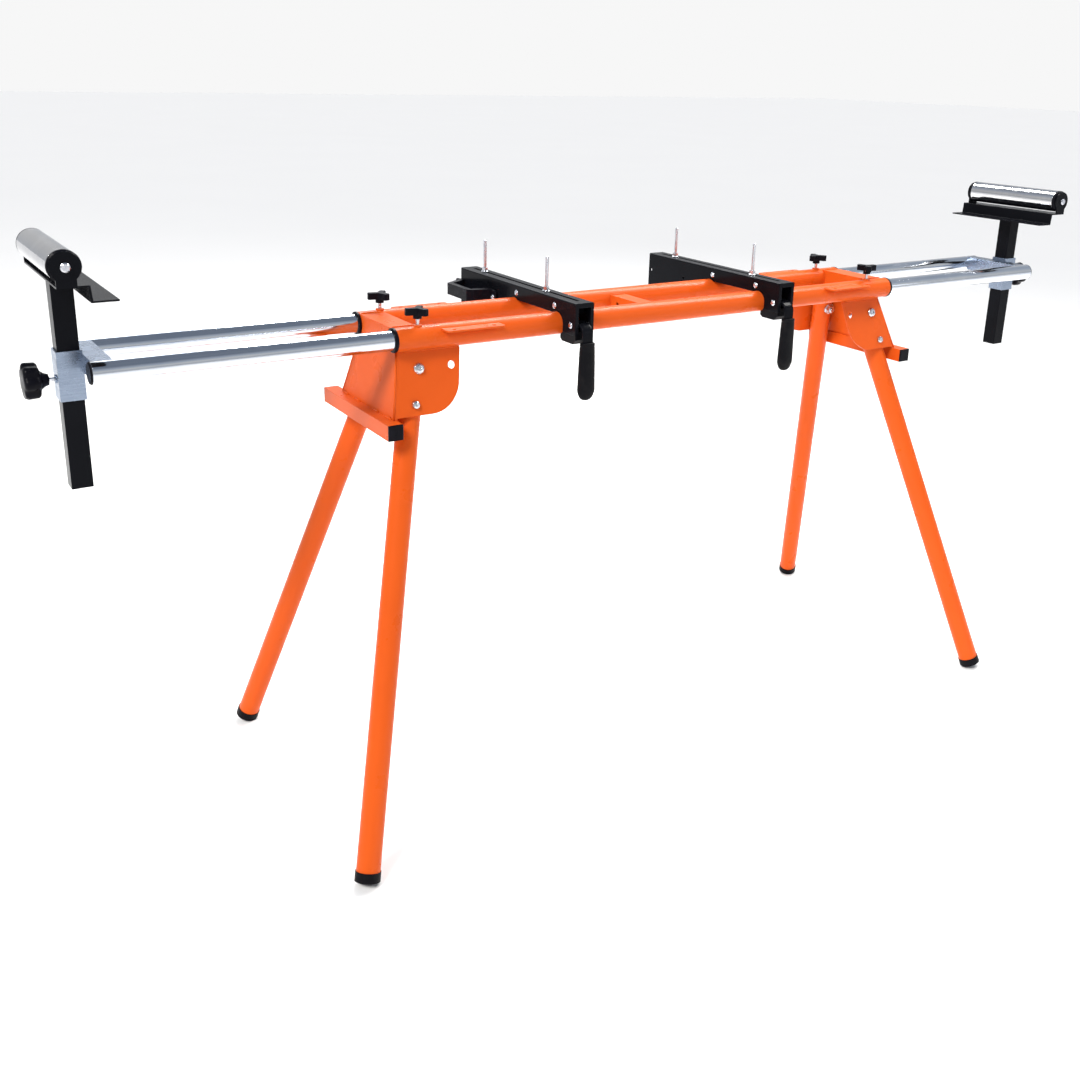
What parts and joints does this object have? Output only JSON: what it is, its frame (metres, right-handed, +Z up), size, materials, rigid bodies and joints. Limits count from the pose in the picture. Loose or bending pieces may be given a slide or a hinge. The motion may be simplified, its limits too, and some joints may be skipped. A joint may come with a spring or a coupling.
{
  "type": "mitre saw stand",
  "caption": "Folding work stand for a mitre saw: tubular frame, splayed folding legs, sliding tool mounts with clamp levers, and pull-out extensions with height-adjustable rollers.",
  "frame": {"origin": "on the floor, under the middle of the frame", "axes": "+X along the main tubes, +Y to the rear (away from the clamp levers), +Z up"},
  "size_m": [2.1348, 0.6068, 0.9785],
  "materials": {
    "orange_coat": "glossy orange powder coat",
    "black_coat": "satin black powder coat",
    "chromed_tube": "bright chrome plate",
    "zinc_plate": "bright zinc plate, slightly blue",
    "roller_steel": "bright turned steel",
    "bolt_steel": "zinc-plated fasteners",
    "black_plastic": "moulded black plastic",
    "black_rubber": "moulded black rubber"
  },
  "bodies": {
    "frame": {"main_tube_front": "orange_coat", "main_tube_rear": "orange_coat", "cross_members": "orange_coat", "leg_bracket_left": "orange_coat", "leg_bracket_right": "orange_coat", "crossbars": "orange_coat", "crossbar_caps": "black_plastic", "accessory_strips": "orange_coat", "tube_bushes": "black_plastic", "pivot_bolts": "bolt_steel"},
    "leg_front_left": {"leg_front_left": "orange_coat", "foot_front_left": "black_rubber"},
    "lock_button_front_left": {"lock_button_front_left": "bolt_steel"},
    "lock_knob_front_left": {"lock_knob_front_left": "black_plastic"},
    "leg_rear_left": {"leg_rear_left": "orange_coat", "foot_rear_left": "black_rubber"},
    "lock_button_rear_left": {"lock_button_rear_left": "bolt_steel"},
    "lock_knob_rear_left": {"lock_knob_rear_left": "black_plastic"},
    "extension_left": {"extension_tubes_left": "chromed_tube", "extension_ends_left": "black_plastic", "yoke_left": "zinc_plate"},
    "post_left": {"post_left": "black_coat", "roller_bracket_left": "black_coat", "roller_axle_left": "bolt_steel"},
    "roller_left": {"roller_left": "roller_steel", "roller_caps_left": "black_plastic"},
    "star_knob_left": {"star_knob_left": "black_plastic"},
    "mount_left": {"mount_channel_left": "black_coat", "mount_pads_left": "black_plastic", "mount_rivets_left": "bolt_steel", "saw_studs_left": "bolt_steel", "carry_handle_left": "black_plastic"},
    "lever_left": {"clamp_lever_left": "black_coat", "lever_grip_left": "black_rubber"},
    "clamp_jaw_left": {"clamp_jaw_left": "black_plastic"},
    "leg_front_right": {"leg_front_right": "orange_coat", "foot_front_right": "black_rubber"},
    "lock_button_front_right": {"lock_button_front_right": "bolt_steel"},
    "lock_knob_front_right": {"lock_knob_front_right": "black_plastic"},
    "leg_rear_right": {"leg_rear_right": "orange_coat", "foot_rear_right": "black_rubber"},
    "lock_button_rear_right": {"lock_button_rear_right": "bolt_steel"},
    "lock_knob_rear_right": {"lock_knob_rear_right": "black_plastic"},
    "extension_right": {"extension_tubes_right": "chromed_tube", "extension_ends_right": "black_plastic", "yoke_right": "zinc_plate"},
    "post_right": {"post_right": "black_coat", "roller_bracket_right": "black_coat", "roller_axle_right": "bolt_steel"},
    "roller_right": {"roller_right": "roller_steel", "roller_caps_right": "black_plastic"},
    "star_knob_right": {"star_knob_right": "black_plastic"},
    "mount_right": {"mount_channel_right": "black_coat", "mount_pads_right": "black_plastic", "mount_rivets_right": "bolt_steel", "saw_studs_right": "bolt_steel", "carry_handle_right": "black_plastic"},
    "lever_right": {"clamp_lever_right": "black_coat", "lever_grip_right": "black_rubber"},
    "clamp_jaw_right": {"clamp_jaw_right": "black_plastic"}
  },
  "joints": [
    {"name": "leg_fold_front_left", "type": "hinge", "parent": "frame", "child": "leg_front_left", "pos_m": [-0.504, -0.05689, 0.74611], "axis": [0, -0.9558, 0.294], "range_deg": [0, 104.4]},
    {"name": "lock_button_press_front_left", "type": "slide", "parent": "frame", "child": "lock_button_front_left", "axis": [0, 0.9558, -0.294], "range_m": [0, 0.005], "stiffness_N_per_m": 600, "springref_m": -0.002},
    {"name": "lock_knob_turn_front_left", "type": "hinge", "parent": "frame", "child": "lock_knob_front_left", "pos_m": [-0.501, -0.0705, 0.83105], "axis": [0, 0, 1], "range_deg": [0, 720]},
    {"name": "leg_fold_rear_left", "type": "hinge", "parent": "frame", "child": "leg_rear_left", "pos_m": [-0.504, 0.05689, 0.74611], "axis": [0, -0.9558, -0.294], "range_deg": [0, 104.4]},
    {"name": "lock_button_press_rear_left", "type": "slide", "parent": "frame", "child": "lock_button_rear_left", "axis": [0, -0.9558, -0.294], "range_m": [0, 0.005], "stiffness_N_per_m": 600, "springref_m": -0.002},
    {"name": "lock_knob_turn_rear_left", "type": "hinge", "parent": "frame", "child": "lock_knob_rear_left", "pos_m": [-0.501, 0.0705, 0.83105], "axis": [0, 0, 1], "range_deg": [0, 720]},
    {"name": "extension_slide_left", "type": "slide", "parent": "frame", "child": "extension_left", "axis": [1, 0, 0], "range_m": [0, 0.4]},
    {"name": "post_lift_left", "type": "slide", "parent": "extension_left", "child": "post_left", "axis": [0, 0, -1], "range_m": [-0.11, 0.075]},
    {"name": "roller_turn_left", "type": "hinge", "parent": "post_left", "child": "roller_left", "pos_m": [-1.01696, 0, 0.9523], "axis": [0, 1, 0], "continuous": true},
    {"name": "star_knob_turn_left", "type": "hinge", "parent": "extension_left", "child": "star_knob_left", "pos_m": [-1.04042, 0, 0.78], "axis": [-1, 0, 0], "range_deg": [0, 720]},
    {"name": "mount_slide_left", "type": "slide", "parent": "frame", "child": "mount_left", "axis": [-1, 0, 0], "range_m": [-0.18, 0.11]},
    {"name": "lever_swing_left", "type": "hinge", "parent": "mount_left", "child": "lever_left", "pos_m": [-0.225, -0.113, 0.8035], "axis": [-1, 0, 0], "range_deg": [0, 75]},
    {"name": "jaw_release_left", "type": "slide", "parent": "mount_left", "child": "clamp_jaw_left", "axis": [0, 0, -1], "range_m": [0, 0.004]},
    {"name": "leg_fold_front_right", "type": "hinge", "parent": "frame", "child": "leg_front_right", "pos_m": [0.504, -0.05689, 0.74611], "axis": [0, 0.9558, -0.294], "range_deg": [0, 92]},
    {"name": "lock_button_press_front_right", "type": "slide", "parent": "frame", "child": "lock_button_front_right", "axis": [0, 0.9558, -0.294], "range_m": [0, 0.005], "stiffness_N_per_m": 600, "springref_m": -0.002},
    {"name": "lock_knob_turn_front_right", "type": "hinge", "parent": "frame", "child": "lock_knob_front_right", "pos_m": [0.4885, -0.0705, 0.83105], "axis": [0, 0, 1], "range_deg": [0, 720]},
    {"name": "leg_fold_rear_right", "type": "hinge", "parent": "frame", "child": "leg_rear_right", "pos_m": [0.504, 0.05689, 0.74611], "axis": [0, 0.9558, 0.294], "range_deg": [0, 92]},
    {"name": "lock_button_press_rear_right", "type": "slide", "parent": "frame", "child": "lock_button_rear_right", "axis": [0, -0.9558, -0.294], "range_m": [0, 0.005], "stiffness_N_per_m": 600, "springref_m": -0.002},
    {"name": "lock_knob_turn_rear_right", "type": "hinge", "parent": "frame", "child": "lock_knob_rear_right", "pos_m": [0.4885, 0.0705, 0.83105], "axis": [0, 0, 1], "range_deg": [0, 720]},
    {"name": "extension_slide_right", "type": "slide", "parent": "frame", "child": "extension_right", "axis": [-1, 0, 0], "range_m": [0, 0.4]},
    {"name": "post_lift_right", "type": "slide", "parent": "extension_right", "child": "post_right", "axis": [0, 0, -1], "range_m": [-0.11, 0.075]},
    {"name": "roller_turn_right", "type": "hinge", "parent": "post_right", "child": "roller_right", "pos_m": [1.01696, 0, 0.9565], "axis": [0, 1, 0], "continuous": true},
    {"name": "star_knob_turn_right", "type": "hinge", "parent": "extension_right", "child": "star_knob_right", "pos_m": [1.04042, 0, 0.78], "axis": [1, 0, 0], "range_deg": [0, 720]},
    {"name": "mount_slide_right", "type": "slide", "parent": "frame", "child": "mount_right", "axis": [1, 0, 0], "range_m": [-0.18, 0.11]},
    {"name": "lever_swing_right", "type": "hinge", "parent": "mount_right", "child": "lever_right", "pos_m": [0.221, -0.113, 0.8035], "axis": [-1, 0, 0], "range_deg": [0, 75]},
    {"name": "jaw_release_right", "type": "slide", "parent": "mount_right", "child": "clamp_jaw_right", "axis": [0, 0, -1], "range_m": [0, 0.004]}
  ],
  "couplings": [
    {"joint": "jaw_release_left", "follows": "lever_swing_left", "m_per_rad": 0.003056},
    {"joint": "jaw_release_right", "follows": "lever_swing_right", "m_per_rad": 0.003056}
  ]
}
